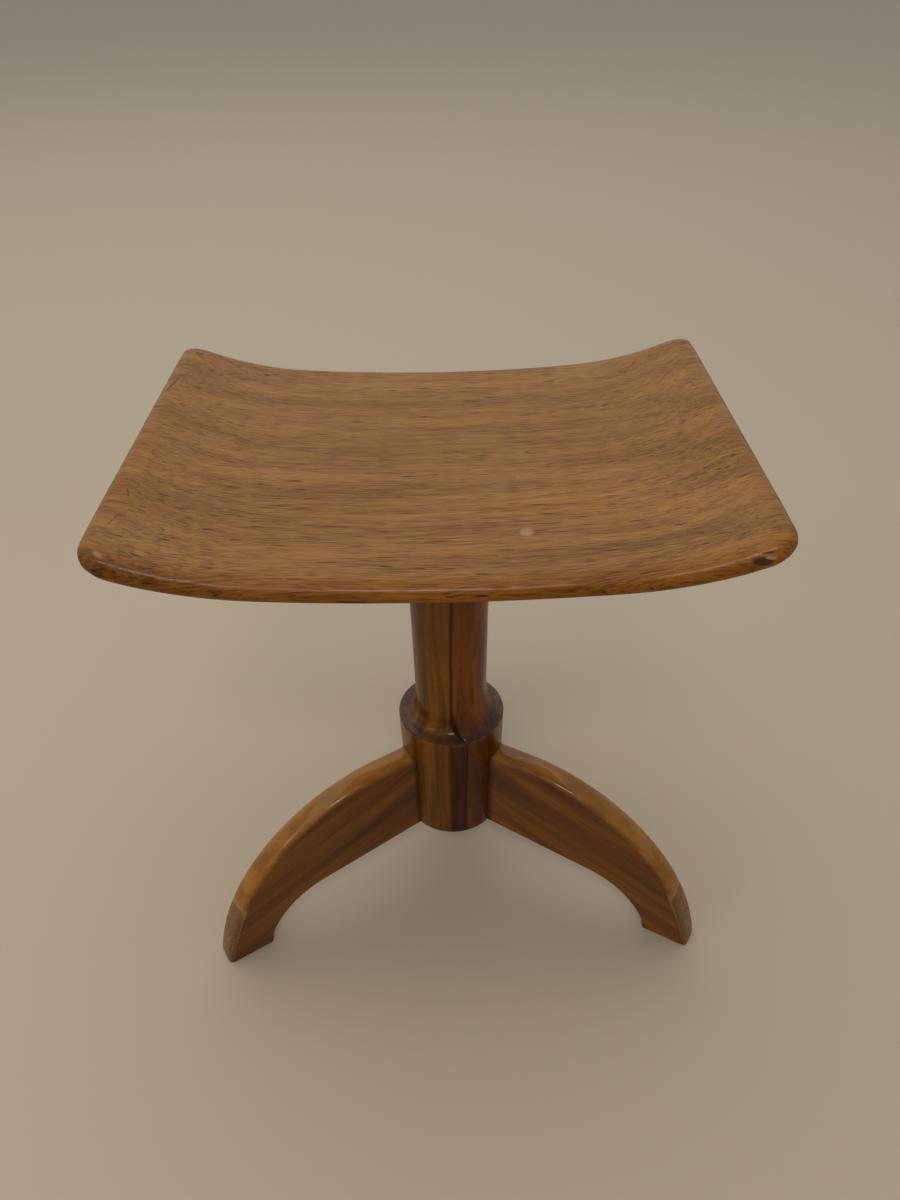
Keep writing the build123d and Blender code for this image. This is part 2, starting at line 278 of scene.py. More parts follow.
def pedestal_profile(high):
    """Radius and height pairs, bottom to top, with the core's high shoulder or the level ledge."""
    base = [(HUB_BASE - 2.2, HUB_BOTTOM), (HUB_BASE - 1.0, HUB_BOTTOM + 0.35)]
    base += [(HUB_BASE - 0.2, HUB_BOTTOM + 1.2), (HUB_BASE + 0.05, HUB_BOTTOM + 2.6)]
    shares = np.linspace(0.06, 0.985, 34)
    wall = [
        (HUB_BASE + (RIM - HUB_BASE) * t, HUB_BOTTOM + t * (RIM_HEIGHT - HUB_BOTTOM))
        for t in shares
    ]
    rim = [(RIM - 0.05, RIM_HEIGHT - 0.9), (RIM - 0.3, RIM_HEIGHT - 0.3), (RIM - 1.0, RIM_HEIGHT)]
    swell = (WAIST, RIM_HEIGHT + CORE_RISE)
    if high:
        knee = (CORE_BREAK[0], RIM_HEIGHT + CORE_BREAK[1])
        upper, final = arc_from(swell, (0, -1), knee, 14)
        lower, _ = arc_from(knee, final, rim[-1], 14)
        down = [*upper, *lower[:-1]]
    else:
        cove_top = (WAIST, RIM_HEIGHT + LEDGE_COVE)
        cove, _ = arc_from(cove_top, (0, -1), (WAIST + LEDGE_COVE, RIM_HEIGHT), 14)
        straight = np.linspace(RIM_HEIGHT + CORE_RISE, cove_top[1], 11)[1:]
        ledge = np.linspace(WAIST + LEDGE_COVE, RIM - 1.0, 5)[1:-1]
        down = [(WAIST, z) for z in straight] + cove + [(r, RIM_HEIGHT) for r in ledge]
    column, _ = arc_from(swell, (0, 1), (TOP_RADIUS, COLUMN_TOP), 40)
    return np.array([*base, *wall, *rim, *down[::-1], swell, *column])


def half_section(radius, count_arc, count_flat):
    """The core's front half at one radius: an arc and half of each glue face."""
    end = asin(CORE_HALF / radius)
    inner = asin((CORE_HALF - GLUE_GROOVE) / radius)
    arc = [(radius * cos(a), radius * sin(a)) for a in np.linspace(-inner, inner, count_arc)]
    low = (radius - GLUE_GROOVE) * cos(end)
    flat = np.linspace(low, 0, count_flat + 1)[:-1] * 0.999
    return np.array([(x, -CORE_HALF) for x in flat[::-1]] + arc + [(x, CORE_HALF) for x in flat])


def core_loops(high, ledge, count_arc, count_flat):
    """Outlines of the middle board, front half on one profile and back half on the other."""
    loops = []
    for (front_radius, front_height), (back_radius, back_height) in zip(high, ledge):
        front = half_section(front_radius, count_arc, count_flat)
        back = -half_section(back_radius, count_arc, count_flat)
        heights = np.repeat([front_height, back_height], len(front))
        loops.append(np.column_stack([np.concatenate([front, back]), heights]))
    return np.array(loops)


def cheek_loops(side, ledge, count_arc, count_flat):
    """Outlines of an outer board: an arc, closed by its glue face."""
    loops = []
    for radius, height in ledge:
        end = asin(CORE_HALF / radius)
        inner = asin((CORE_HALF + GLUE_GROOVE) / radius)
        turns = np.linspace(inner, pi - inner, count_arc)
        arc = [(radius * cos(a), radius * sin(a)) for a in turns]
        low = (radius - GLUE_GROOVE) * cos(end)
        flat = [(x, CORE_HALF) for x in np.linspace(-low, low, count_flat)]
        outline = np.array(arc + flat) * np.array([1, side])
        loops.append(np.column_stack([outline, np.full(len(outline), height)]))
    return np.array(loops)


def make_board(name, node, slot, loops, side, seed):
    """One board of the pedestal, from the outlines of its cross sections, bottom to top."""
    place = loops[..., :1] * BOARD_ALONG + loops[..., 1:2] * BOARD_NORMAL
    loops = np.concatenate([place, loops[..., 2:]], axis=-1)
    if name == "pedestal_core":  # the core alone goes on as a tenon, up to the seat
        top = loops[-1]
        shrink = TENON / np.maximum(np.hypot(top[:, 0], top[:, 1]), TENON)
        neck = np.column_stack([top[:, :2] * shrink[:, None], top[:, 2]])
        head = neck + np.array([0, 0, SEAT_LOW[2] - COLUMN_TOP])
        loops = np.concatenate([loops, neck[None], head[None]])
    index = np.arange(loops.shape[0] * loops.shape[1]).reshape(loops.shape[:2])
    points = np.concatenate([loops.reshape(-1, 3), loops[:1].mean(1), loops[-1:].mean(1)])
    faces = [grid_faces(index, closed=True)]
    faces += [fan(index[0][::-1], len(points) - 2), fan(index[-1], len(points) - 1)]

    reach = np.hypot(points[:, 0], points[:, 1])
    outward = points[:, :2] / np.maximum(reach, 1)[:, None]
    wobble = 0.10 * noise_at(points, 45, seed) + 0.04 * noise_at(points, 14, seed + 1)
    points[:, :2] += outward * (wobble * (reach > TURNED_REACH))[:, None]
    along, through = points[:, :2] @ BOARD_ALONG, points[:, :2] @ BOARD_NORMAL
    grain = np.column_stack([points[:, 2], along + 90 * seed, through]) * MM
    azimuth = np.degrees(np.arctan2(points[:, 1], points[:, 0]))
    below_rim = smoothstep(RIM_HEIGHT + 0.5, RIM_HEIGHT - 1.5, points[:, 2])
    strip = smoothstep(*STRIP_AZIMUTH, azimuth + 1.5 * noise_at(points, 60, 5))
    strip = strip * (side < 0) * below_rim
    ledge = smoothstep(WAIST + 2, RIM - 6, reach) * (1 - below_rim)
    # Painted shade on the front cheek's ledge, beside the step up to the core's high shoulder; it
    # goes into the strip attribute together with the dark strip.
    painted_step_shade = smoothstep(10, 2, np.abs(through) - CORE_HALF) * ledge * (side < 0)
    strip = np.maximum(strip, painted_step_shade)
    rim = np.exp(-((np.hypot(reach - RIM, points[:, 2] - RIM_HEIGHT) / 1.6) ** 2))
    points[:, :2] += (AXIS_X, AXIS_Y)
    return make_piece(
        name, points, faces, node, slot, crease=32, grain=grain, strip=strip, ledge=ledge, edge=rim
    )


def make_pedestal():
    """Three boards glued together and turned; the core keeps a high shoulder in front."""
    high, ledge = pedestal_profile(True), pedestal_profile(False)
    core = core_loops(high, ledge, 36, 6)
    front, rear = cheek_loops(-1, ledge, 60, 12), cheek_loops(1, ledge, 60, 12)
    return [
        make_board("pedestal_core", "column_core", "core_wood", core, 0, 1),
        make_board("pedestal_front", "column_cheek_front", "cheek_wood", front, -1, 2),
        make_board("pedestal_rear", "column_cheek_rear", "cheek_wood", rear, 1, 3),
    ]


# ---------------------------------------------------------------------------------- the legs
LEG_HALF = 12.0  # half a leg's thickness
LEG_END = 43.0  # where a leg ends inside the hub
LEG_SHOULDER = 73.0  # level out to here, then the arch
ARCH = 181.0  # radius
UNDER_AT_HUB, UNDER_RUN = 65.5, (150.0, 53.0)  # the straight part of the underside
HEEL_TOP, HEEL = (206.0, 12.0), 208.5
TOP_ARRIS, UNDER_ARRIS, FOOT_ARRIS = 6.5, 1.8, 1.2  # rounder on top than the CAD's 4.5
TRIPOD_TURN = 1.15  # degrees
LEG_ANGLES = {"leg_front_left": -60.0, "leg_front_right": 60.0, "leg_rear": 180.0}
LEG_TOP = box_mm("leg_rear")[1][2]
FOOT_REACH = LEG_SHOULDER + sqrt(ARCH**2 - (ARCH - LEG_TOP) ** 2)
SOFTENING = 1.1  # how far the outline's corners are rounded
ARRIS_BLEND = 4.0  # how softly one arris width passes into the next
OUTLINE_COUNTS = (1200, 200, 1200, 400)  # points on the top, foot, underside and hub end
OUTLINE_STEP, BLUR_STEPS = 0.25, 60
LEG_STEPS = (150, 22)  # along a leg, and from its top edge to its underside
WEAR_BY_RING = (0, 0.6, 1, 0.6, 0.3, 0.1, 0)  # from a leg's flat side to its middle line
# Share of the painted light on a leg's top, from its flat side to its middle line.
TOP_LIGHT_BY_RING = (0, 0.2, 0.6, 1, 1, 1, 1)
TOE_REACH, TOE_HEIGHT = (232, 241), (66, 62)  # where the scuffed patch fades in
GRAIN_TILT = radians(-20)


def resample(line, count):
    """The line again, as count + 1 points evenly spaced along it."""
    line = np.array(line, float)
    reach = np.concatenate([[0], np.cumsum(np.linalg.norm(np.diff(line, axis=0), axis=1))])
    even = np.linspace(0, reach[-1], count + 1)
    return np.column_stack([np.interp(even, reach, line[:, k]) for k in range(2)])


def leg_outline():
    """Closed outline of a leg (reach, height), and how far in its arrises are rounded."""
    arch, _ = arc_from((LEG_SHOULDER, LEG_TOP), (1, 0), (FOOT_REACH, 0), 400)
    upper = [(LEG_END, LEG_TOP), (LEG_SHOULDER, LEG_TOP), *arch]
    slope = (UNDER_RUN[0] - LEG_END, UNDER_RUN[1] - UNDER_AT_HUB)
    hollow, _ = arc_from(UNDER_RUN, slope, HEEL_TOP, 200)
    lower = [(LEG_END, UNDER_AT_HUB), UNDER_RUN, *hollow, (HEEL, 0)]
    lines = (upper, [upper[-1], lower[-1]], lower[::-1], [lower[0], upper[0]])
    parts = [resample(line, count)[:-1] for line, count in zip(lines, OUTLINE_COUNTS)]
    loop = np.concatenate(parts)
    width = np.repeat((TOP_ARRIS, FOOT_ARRIS, UNDER_ARRIS, FOOT_ARRIS), OUTLINE_COUNTS)
    step = np.linalg.norm(np.roll(loop, -1, 0) - loop, axis=1)
    place = np.concatenate([[0], np.cumsum(step)])
    even = np.arange(0, place[-1], OUTLINE_STEP)
    loop, width = np.vstack([loop, loop[:1]]), np.append(width, width[0])
    values = [np.interp(even, place, column) for column in (*loop.T, width)]
    starts = np.cumsum((0, *OUTLINE_COUNTS[:-1]))
    corners = [int(np.searchsorted(even, place[k]) % len(even)) for k in starts]

    def blurred(column, spread):
        steps = np.arange(-BLUR_STEPS, BLUR_STEPS + 1)
        kernel = np.exp(-0.5 * (steps * OUTLINE_STEP / spread) ** 2)
        padded = np.concatenate([column[-BLUR_STEPS:], column, column[:BLUR_STEPS]])
        return np.convolve(padded, kernel / kernel.sum(), mode="valid")

    spreads = (SOFTENING, SOFTENING, ARRIS_BLEND)
    return np.column_stack([blurred(*pair) for pair in zip(values, spreads)]), corners


def leg_border():
    """The outline resampled to the border of the leg's side grid."""
    soft, corners = leg_outline()
    ends = corners[1:] + [len(soft)]
    runs = zip(corners, ends, LEG_STEPS * 2)
    picks = np.concatenate([np.linspace(start, end, n + 1)[:-1] for start, end, n in runs])
    padded = np.vstack([soft, soft[:1]])
    order = np.arange(len(padded))
    return np.column_stack([np.interp(picks, order, column) for column in padded.T])


def inset(loop, width):
    """The loop moved inwards by width, mitred at its corners."""
    before, after = loop - np.roll(loop, 1, 0), np.roll(loop, -1, 0) - loop
    normals = []
    for edge in (before, after):
        edge = edge / np.linalg.norm(edge, axis=1)[:, None]
        normals.append(np.column_stack([edge[:, 1], -edge[:, 0]]))
    mitre = (normals[0] + normals[1]) / (1 + (normals[0] * normals[1]).sum(1))[:, None]
    return loop + mitre * np.asarray(width)[:, None]


def side_grid(loop):
    """Points that fill the loop: rows run along the leg, columns from top to underside."""
    n, m = LEG_STEPS
    upper, foot = loop[:n + 1], loop[n:n + m + 1]
    lower = loop[n + m:2 * n + m + 1][::-1]
    hub = np.vstack([loop[2 * n + m:], loop[:1]])[::-1]
    s, v = np.meshgrid(np.linspace(0, 1, n + 1), np.linspace(0, 1, m + 1), indexing="ij")
    s, v = s[..., None], v[..., None]
    ruled = (1 - v) * upper[:, None] + v * lower[:, None] + (1 - s) * hub[None] + s * foot[None]
    corners = (
        (1 - s) * (1 - v) * upper[0] + s * (1 - v) * upper[-1]
        + (1 - s) * v * lower[0] + s * v * lower[-1]
    )
    return ruled - corners


def side_border(table):
    """Vertex numbers round a side grid, in the order of the leg's outline."""
    return np.concatenate([table[:-1, 0], table[-1, :-1], table[:0:-1, -1], table[0, :0:-1]])


def leg_rings(loop, width):
    """Outlines across a leg's edge from one flat side to the other, each with its offset."""
    top_side = np.zeros(len(loop))
    top_side[:LEG_STEPS[0] + 1] = 1
    bulge = inset(loop, -0.35 * top_side)
    rings = []
    for turn in np.radians([18, 36, 54, 72, 90]):
        rings.append((inset(loop, width * (1 - sin(turn))), LEG_HALF - width * (1 - cos(turn))))
    for share in (0.5, 0.0):
        crown = loop + (bulge - loop) * (1 - share**2)
        rings.append((crown, share * (LEG_HALF - width)))
    full = rings + [(plane, -offset) for plane, offset in rings[-2::-1]]
    return np.array([np.column_stack([plane, offset]) for plane, offset in full])


def by_ring(half, count):
    """One value for each point of the rings, the same on both sides of the middle line."""
    return np.repeat(half + half[-2::-1], count)


def make_leg(node, seed):
    """One arched leg with soft arrises and a scuffed, slightly crushed toe."""
    outline = leg_border()
    loop, width = outline[:, :2], outline[:, 2]
    side = side_grid(inset(loop, width))
    flat = side.reshape(-1, 2)
    band = leg_rings(loop, width)
    faced = [np.column_stack([flat, np.full(len(flat), sign * LEG_HALF)]) for sign in (1, -1)]
    local = np.concatenate([faced[0], band.reshape(-1, 3), faced[1]])
    first = np.arange(len(flat)).reshape(side.shape[:2])
    middle = len(flat) + np.arange(band.shape[0] * band.shape[1]).reshape(band.shape[:2])
    last = len(flat) + middle.size + first
    strip = np.concatenate([side_border(first)[None], middle, side_border(last)[None]])
    faces = [grid_faces(first), grid_faces(strip, closed=True), grid_faces(last)[:, ::-1]]

    place = np.column_stack([local[:, 0], local[:, 2], local[:, 1]])
    along_top, top = np.zeros(len(local)), np.zeros(len(local))
    on_top = np.tile(np.arange(len(loop)) <= LEG_STEPS[0], band.shape[0])
    wear, top_light = by_ring(WEAR_BY_RING, len(loop)), by_ring(TOP_LIGHT_BY_RING, len(loop))
    along_top[middle.ravel()] = np.where(on_top, 1.0, 0.35) * wear
    # top: where the leg's top is painted lighter, standing for the light that falls on it.
    top[middle.ravel()] = np.where(on_top, top_light, 0.0)
    steep = smoothstep(*TOE_REACH, local[:, 0] + 0.15 * local[:, 1])
    toe = steep * smoothstep(*TOE_HEIGHT, local[:, 1] + 2.5 * noise_at(place, 12, seed + 4))
    toe[first.ravel()] = toe[last.ravel()] = 0
    local[:, 2] += 0.10 * noise_at(place, 50, seed)
    rough = toe * (0.5 * noise_at(place, 6, seed + 2) + 0.3 * noise_at(place, 2.8, seed + 3))
    local[:, 0] += np.minimum(rough, 0.15) - 0.2 * toe
    grain = np.column_stack([
        local[:, 0] * cos(GRAIN_TILT) + local[:, 1] * sin(GRAIN_TILT),
        local[:, 1] * cos(GRAIN_TILT) - local[:, 0] * sin(GRAIN_TILT) + 130 * seed,
        local[:, 2],
    ]) * MM
    turn = radians(LEG_ANGLES[node] + TRIPOD_TURN)
    out, across = np.array([sin(turn), -cos(turn)]), np.array([cos(turn), sin(turn)])
    plan = local[:, :1] * out + local[:, 2:] * across + (AXIS_X, AXIS_Y)
    points = np.column_stack([plan, local[:, 1]])
    joint = smoothstep(RIM + 2.5, RIM - 2, local[:, 0])
    return make_piece(
        node.replace("leg", "arched_leg"), points, faces, node, "leg_wood",
        grain=grain, edge=along_top, top=top, toe=toe, joint=joint,
    )


# --------------------------------------------------------------------------------- materials
class Graph:
    """A new material, with short ways to add shader nodes to it. Lengths are in millimetres."""

    def __init__(self, name):
        self.material = bpy.data.materials.new(name)
        self.material.use_nodes = True
        self.tree = self.material.node_tree
        self.shader = self.tree.nodes["Principled BSDF"]

    def add(self, kind, sockets=None, **settings):
        node = self.tree.nodes.new("ShaderNode" + kind)
        for key, value in settings.items():
            setattr(node, key, value)
        for key, value in (sockets or {}).items():
            self.feed(node.inputs[key], value)
        return node

    def feed(self, socket, value):
        if isinstance(value, bpy.types.NodeSocket):
            self.tree.links.new(value, socket)
        elif socket.type == "RGBA" and len(value) == 3:
            socket.default_value = (*value, 1)
        else:
            socket.default_value = value

    def math(self, operation, a, b=0.0, c=0.0):
        return self.add("Math", {0: a, 1: b, 2: c}, operation=operation).outputs[0]

    def vector(self, operation, a, b=(0, 0, 0), output=0):
        return self.add("VectorMath", {0: a, 1: b}, operation=operation).outputs[output]

    def attribute(self, name):
        return self.add("Attribute", attribute_name=name).outputs["Fac"]

    def grain(self):
        """Place in the board: along the grain, across it, and through the board."""
        node = self.add("Attribute", attribute_name="grain")
        return self.vector("MULTIPLY", node.outputs["Vector"], (1000, 1000, 1000))

    def place(self, order="xyz", shift=(0, 0, 0)):
        """Place in the frame, with its axes in another order."""
        node = self.add("TexCoord").outputs["Object"]
        parts = self.add("SeparateXYZ", {0: node}).outputs
        reordered = {k: parts["xyz".index(axis)] for k, axis in enumerate(order)}
        turned = self.add("CombineXYZ", reordered)
        scaled = self.vector("MULTIPLY", turned.outputs[0], (1000, 1000, 1000))
        return self.vector("ADD", scaled, shift)

    def noise(self, place, sizes, detail=2.0, roughness=0.5, colour=False):
        """Noise from 0 to 1 whose features have the given sizes along the three axes."""
        stretched = self.vector("DIVIDE", place, sizes)
        sockets = {"Vector": stretched, "Scale": 1.0, "Detail": detail, "Roughness": roughness}
        return self.add("TexNoise", sockets).outputs["Color" if colour else "Fac"]

    def remap(self, value, low, high, to_low=0.0, to_high=1.0, smooth=True):
        sockets = {"Value": value, "From Min": low, "From Max": high}
        sockets |= {"To Min": to_low, "To Max": to_high}
        style = "SMOOTHSTEP" if smooth else "LINEAR"
        return self.add("MapRange", sockets, interpolation_type=style).outputs["Result"]

    def ramp(self, value, *stops):
        node = self.add("ValToRGB", {"Fac": value})
        elements = node.color_ramp.elements
        while len(elements) < len(stops):
            elements.new(0.5)
        for element, (position, colour) in zip(elements, stops):
            element.position = position
            element.color = (*colour, 1)
        return node.outputs["Color"]

    def mix(self, share, a, b, blend="MIX"):
        node = self.add("Mix", {0: share, 6: a, 7: b}, data_type="RGBA", blend_type=blend)
        return node.outputs[2]

    def tint(self, colour, share, strength, shade):
        """The colour, turned towards shade by share times strength."""
        return self.mix(self.math("MULTIPLY", share, strength), colour, shade)

    def bump(self, height, depth, strength=1.0):
        """Surface normal for a height from 0 to 1 that stands for depth millimetres."""
        sockets = {"Height": height, "Distance": depth * MM, "Strength": strength}
        return self.add("Bump", sockets).outputs["Normal"]


def mark(g, place, centre, half_size, turn):
    """A soft-edged oval round a point: 1 inside, 0 outside."""
    offset = g.vector("SUBTRACT", place, centre)
    sockets = {"Vector": offset, "Angle": radians(turn)}
    turned = g.add("VectorRotate", sockets, rotation_type="Z_AXIS")
    scaled = g.vector("DIVIDE", turned.outputs[0], half_size)
    return g.remap(g.vector("LENGTH", scaled, output="Value"), 1.25, 0.75)


def marks(g, place, ovals):
    """Several marks at once, each with its own strength."""
    total = 0.0
    for centre, half_size, turn, strength in ovals:
        oval = mark(g, place, centre, half_size, turn)
        total = g.math("MAXIMUM", total, g.math("MULTIPLY", oval, strength))
    return total


def pores(g, place, length, width, share):
    """Open pores: dark dashes along the grain, closer together in some growth layers."""
    wide = g.noise(place, (length * 3, width * 4, width * 12), 1.0, colour=True)
    jitter = g.vector("SUBTRACT", wide, (0.5, 0.5, 0.5))
    moved = g.vector("ADD", place, g.vector("MULTIPLY", jitter, (length * 2, width * 5, width * 5)))
    stretched = g.vector("DIVIDE", moved, (length, width, width * 4))
    cells = g.add("TexVoronoi", {"Vector": stretched, "Scale": 1.0, "Randomness": 1.0})
    parts = g.add("SeparateXYZ", {0: cells.outputs["Color"]}).outputs
    present = g.math("LESS_THAN", parts[0], share)
    depth = g.remap(parts[1], 0.0, 1.0, 0.35, 1.0)
    dash = g.remap(cells.outputs["Distance"], 0.44, 0.20)
    return g.math("MULTIPLY", dash, g.math("MULTIPLY", present, depth))


def wood(
    g, place, tones, layer, pith, pore, density, contrast=1.0,
    band=22, streak=(55, 1.8), weights=(0.26, 0.26, 0.34, 0.14),
):
    """Colour, pores and fibre of a board.

    tones are its light, middle and dark colours, layer the thickness of a growth layer, pith
    where the rings have their middle, band the width of the bands, pore and streak lengths
    and widths, and weights the shares of rings, bands, streaks and fibre.
    """
    light, middle, dark = tones
    wander = g.vector("SUBTRACT", g.noise(place, (190, 40, 40), 1.0, colour=True), (0.5, 0.5, 0.5))
    ripple = g.vector("SUBTRACT", g.noise(place, (30, 9, 9), 1.0, colour=True), (0.5, 0.5, 0.5))
    wavy = g.vector("ADD", place, g.vector("MULTIPLY", wander, (0, 12, 12)))
    wavy = g.vector("ADD", wavy, g.vector("MULTIPLY", ripple, (0, 1.2, 1.2)))
    from_pith = g.vector("MULTIPLY", g.vector("SUBTRACT", wavy, pith), (0.02, 1, 1))
    distance = g.vector("LENGTH", from_pith, output="Value")
    sockets = {"W": g.math("DIVIDE", distance, layer), "Scale": 1.0}
    sockets |= {"Detail": 3.0, "Roughness": 0.62}
    rings = g.add("TexNoise", sockets, noise_dimensions="1D").outputs["Fac"]
    bands = g.noise(wavy, (230, band, 2 * band), 2.0)
    streaks = g.noise(wavy, (streak[0], streak[1], 2.5 * streak[1]), 3.0, 0.65)
    fibre = g.noise(wavy, (14, 0.5, 1.5), 2.0, 0.6)
    tone = g.math("MULTIPLY_ADD", rings, weights[0], g.math("MULTIPLY", bands, weights[1]))
    fine = g.math("MULTIPLY_ADD", streaks, weights[2], g.math("MULTIPLY", fibre, weights[3]))
    tone = g.math("ADD", tone, fine)
    tone = g.remap(tone, 0.5 - 0.13 / contrast, 0.5 + 0.13 / contrast, smooth=False)
    colour = g.ramp(tone, (0.0, dark), (0.5, middle), (1.0, light))
    season = g.math("MULTIPLY_ADD", rings, 0.7, g.math("MULTIPLY", bands, 0.3))
    thick = g.remap(season, 0.35, 0.62, density, density * 0.45)
    open_pores = pores(g, wavy, pore[0], pore[1], thick)
    moved = g.vector("ADD", wavy, (31, 17, 5))
    fewer = g.math("MULTIPLY", thick, 0.9)
    fine_pores = pores(g, moved, pore[0] * 0.55, pore[1] * 0.7, fewer)
    both = g.math("MAXIMUM", open_pores, g.math("MULTIPLY", fine_pores, 0.6))
    return colour, both, fibre


def finish(g, place, colour, open_pores, fibre, rough, coat, coat_rough, wear=None):
    """Varnish over the wood: sheen, slight unevenness, and pores that break the gloss."""
    g.shader.inputs["Specular IOR Level"].default_value = 0.12
    g.shader.inputs["Coat Weight"].default_value = coat
    g.shader.inputs["Coat Roughness"].default_value = coat_rough
    g.shader.inputs["Coat IOR"].default_value = 1.5
    cloud = g.noise(place, (60, 45, 45), 3.0)
    level = g.remap(cloud, 0.3, 0.7, rough - 0.06, rough + 0.07)
    level = g.math("ADD", level, g.math("MULTIPLY", open_pores, 0.22))
    if wear is not None:
        level = g.math("ADD", level, g.math("MULTIPLY", wear, 0.25))
    g.feed(g.shader.inputs["Base Color"], colour)
    g.feed(g.shader.inputs["Roughness"], level)
    flow = g.noise(place, (7, 4, 4), 2.0)
    height = g.math("MULTIPLY_ADD", fibre, 0.12, g.math("MULTIPLY", flow, 0.25))
    height = g.math("SUBTRACT", height, open_pores)
    g.feed(g.shader.inputs["Normal"], g.bump(height, 0.10, 0.8))
    g.feed(g.shader.inputs["Coat Normal"], g.bump(height, 0.05, 0.6))


# Light, middle and dark tone of each wood.
SEAT_TONES = (0.40, 0.182, 0.034), (0.295, 0.126, 0.020), (0.165, 0.063, 0.009)
CHEEK_TONES = (0.27, 0.102, 0.008), (0.165, 0.055, 0.003), (0.085, 0.024, 0.001)
CORE_TONES = (0.27, 0.078, 0.004), (0.145, 0.033, 0.0015), (0.065, 0.012, 0.0007)
LEG_TONES = (0.28, 0.092, 0.005), (0.17, 0.049, 0.002), (0.10, 0.025, 0.001)
BEARER_TONES = (0.30, 0.14, 0.045), (0.21, 0.085, 0.024), (0.12, 0.042, 0.011)
BEECH_TONES = (0.60, 0.42, 0.25), (0.50, 0.33, 0.18), (0.38, 0.22, 0.11)

# Centre from the seat's middle (height from the floor), half size, turn, strength.
SEAT_DARK_MARKS = (
    ((-145.5, 132.4, 460), (2.4, 1.6, 60), 0, 0.85), ((-111.1, -48.4, 460), (1.2, 1.0, 60), 0, 0.8),
    ((-173.9, -114.9, 460), (1.0, 0.8, 60), 0, 0.6), ((66.3, 2.0, 460), (1.8, 1.0, 60), 0, 0.8),
    ((-201.8, -84.8, 460), (4.5, 0.6, 60), 70, 0.5),
    ((-202.5, -118.6, 460), (8.0, 0.5, 60), -80, 0.45),
    ((-209.0, 76.0, 470), (14.0, 0.9, 60), -80, 0.75),
    ((194.0, -158.0, 461.5), (6.5, 5, 2.6), 0, 0.8), ((-203.0, -157.0, 461), (4.5, 5, 2.0), 0, 0.4),
)
SEAT_PALE_MARKS_AND_HIGHLIGHT = (
    ((57.9, -103.8, 460), (4.6, 4.2, 60), 0, 0.42), ((57.1, -33.5, 460), (1.2, 1.0, 60), 0, 0.5),
    # The second mark on the next line, at the front-left corner, is a painted highlight.
    ((-162.2, 11.5, 460), (10, 8, 60), 0, 0.10), ((-203.0, -152.0, 469), (4.0, 2.0, 5), 30, 0.4),
    ((198.5, -157.5, 464.2), (3.6, 4, 1.1), 0, 0.55),
)


def seat_material():
    """Open-pored wood with darker, more saturated rounded edges, blotched corners, dark specks,
    pale spots and a painted highlight.
    """
    g = Graph("seat_wood")
    place = g.grain()
    colour, holes, fibre = wood(
        g, place, SEAT_TONES, layer=9.0, pith=(0, 700, -260), contrast=1.35,
        pore=(22, 0.85), density=0.95, streak=(45, 1.0), weights=(0.12, 0.22, 0.42, 0.24),
    )
    edge = g.attribute("edge")
    # The rounded edges are turned darker and more saturated in colour than the top.
    warm = g.mix(1.0, colour, (0.92, 0.70, 0.26), "MULTIPLY")
    colour = g.tint(colour, edge, 0.9, warm)
    colour = g.tint(colour, holes, 0.9, (0.040, 0.014, 0.005))
    corner = g.attribute("corner")
    blotch = g.remap(g.noise(place, (9, 7, 7), 4.0, 0.6), 0.48, 0.66)
    colour = g.tint(colour, g.math("MULTIPLY", corner, blotch), 0.35, (0.05, 0.016, 0.006))
    on_seat = g.place(shift=(-SEAT_MIDDLE[0], -SEAT_MIDDLE[1], 0))
    colour = g.mix(marks(g, on_seat, SEAT_DARK_MARKS), colour, (0.022, 0.009, 0.008))
    # Pale spots, and a painted highlight on the seat's front-left corner.
    colour = g.mix(marks(g, on_seat, SEAT_PALE_MARKS_AND_HIGHLIGHT), colour, (0.52, 0.36, 0.20))
    finish(g, place, colour, holes, fibre, 0.42, 0.22, 0.20)
    return g.material


def pedestal_material(name, tones, pith):
    """A pedestal board: dark glue lines and strip, painted shade beside the front step, a ledge
    greyed by a painted reflection, and a rubbed rim.
    """
    g = Graph(name)
    place = g.grain()
    colour, holes, fibre = wood(
        g, place, tones, layer=4.0, pith=pith, contrast=1.1, pore=(10, 0.8), density=0.25,
        band=11, streak=(90, 4.0), weights=(0.06, 0.52, 0.32, 0.10),
    )
    through = g.add("SeparateXYZ", {0: place}).outputs["Z"]
    from_glue = g.math("ABSOLUTE", g.math("SUBTRACT", g.math("ABSOLUTE", through), CORE_HALF))
    glue = g.remap(from_glue, 1.5, 0.2)
    strip = g.attribute("strip")
    # strip: the dark strip in the wood, and painted shade on the ledge beside the front step.
    colour = g.mix(strip, colour, g.mix(1.0, colour, (0.46, 0.24, 0.10), "MULTIPLY"))
    colour = g.tint(colour, glue, 0.8, (0.016, 0.006, 0.003))
    edge = g.attribute("edge")
    chipped = g.remap(g.noise(place, (4, 4, 4), 3.0), 0.46, 0.6)
    colour = g.tint(colour, g.math("MULTIPLY", edge, chipped), 0.5, (0.34, 0.17, 0.07))
    ledge = g.attribute("ledge")
    # Painted reflection: the ledge is greyed to stand for a pale wall reflected in its varnish.
    painted_sheen = g.remap(g.noise(place, (12, 12, 12), 3.0), 0.35, 0.7, 0.45, 0.8)
    colour = g.tint(colour, ledge, painted_sheen, (0.068, 0.050, 0.042))
    colour = g.tint(colour, holes, 0.5, (0.03, 0.008, 0.003))
    finish(g, place, colour, holes, fibre, 0.32, 0.28, 0.10)
    return g.material


